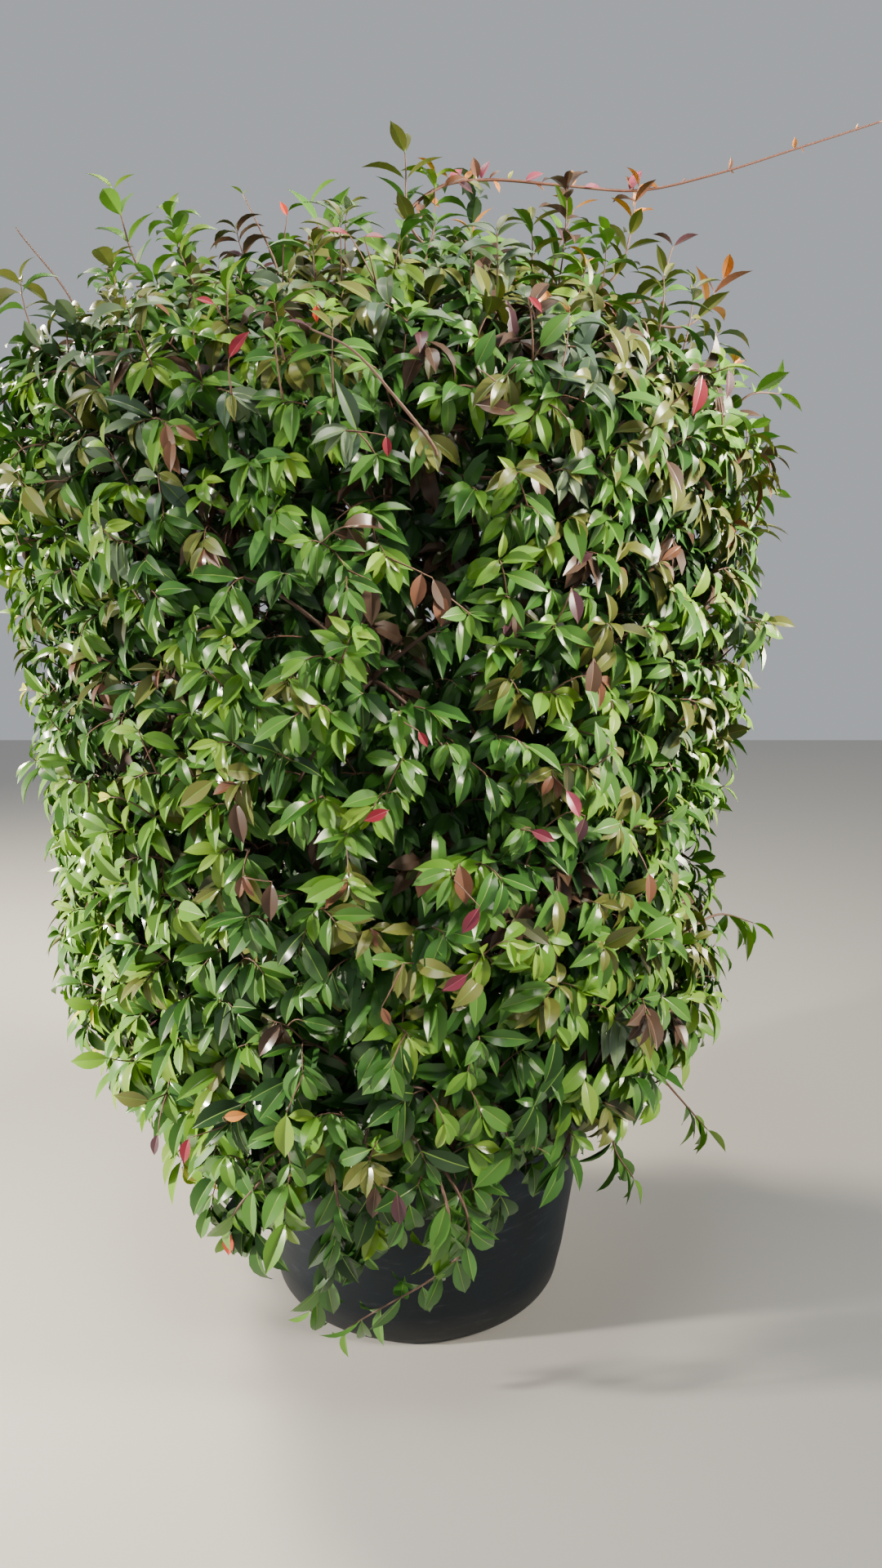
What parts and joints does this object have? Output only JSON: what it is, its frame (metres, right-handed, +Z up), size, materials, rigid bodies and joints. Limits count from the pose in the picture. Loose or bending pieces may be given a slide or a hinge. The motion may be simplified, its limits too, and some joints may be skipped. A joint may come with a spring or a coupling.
{
  "type": "potted jasmine shrub",
  "caption": "Dense upright jasmine shrub in a round black tub, with drooping glossy leaves, shoots trailing over the tub and one long young runner arching off the top.",
  "frame": {"origin": "centre of the tub's flat underside, where it stands on the paving", "axes": "+Z up, +X to the right as seen from the front, and the front faces -Y"},
  "size_m": [1.5503, 1.2243, 2.1686],
  "materials": {
    "pot_plastic": "moulded blue-black plastic, matte, lightly scuffed and dusty at the foot",
    "potting_soil": "dark crumbly potting soil",
    "bark": "brown-grey ridged bark",
    "foliage": "glossy evergreen leaves, from bright yellow-green tips to deep green and bronze inside",
    "young_shoot": "smooth red-brown young shoot with bronze and green leaves"
  },
  "bodies": {
    "root": {"pot": "pot_plastic", "soil": "potting_soil", "trunk": "bark", "bough_skirt_1": "bark", "bough_skirt_2": "bark", "bough_skirt_3": "bark", "bough_skirt_4": "bark", "bough_skirt_5": "bark", "bough_lower_1": "bark", "bough_lower_2": "bark", "bough_lower_3": "bark", "bough_lower_4": "bark", "bough_lower_5": "bark", "bough_middle_1": "bark", "bough_middle_2": "bark", "bough_middle_3": "bark", "bough_middle_4": "bark", "bough_middle_5": "bark", "bough_upper_1": "bark", "bough_upper_2": "bark", "bough_upper_3": "bark", "bough_upper_4": "bark", "bough_upper_5": "bark", "bough_top_1": "bark", "bough_top_2": "bark", "bough_top_3": "bark", "foliage_skirt_1": "foliage", "foliage_skirt_2": "foliage", "foliage_skirt_3": "foliage", "foliage_skirt_4": "foliage", "foliage_skirt_5": "foliage", "foliage_lower_1": "foliage", "foliage_lower_2": "foliage", "foliage_lower_3": "foliage", "foliage_lower_4": "foliage", "foliage_lower_5": "foliage", "foliage_middle_1": "foliage", "foliage_middle_2": "foliage", "foliage_middle_3": "foliage", "foliage_middle_4": "foliage", "foliage_middle_5": "foliage", "foliage_upper_1": "foliage", "foliage_upper_2": "foliage", "foliage_upper_3": "foliage", "foliage_upper_4": "foliage", "foliage_upper_5": "foliage", "foliage_top_1": "foliage", "foliage_top_2": "foliage", "foliage_top_3": "foliage", "runner": "young_shoot"}
  },
  "joints": []
}
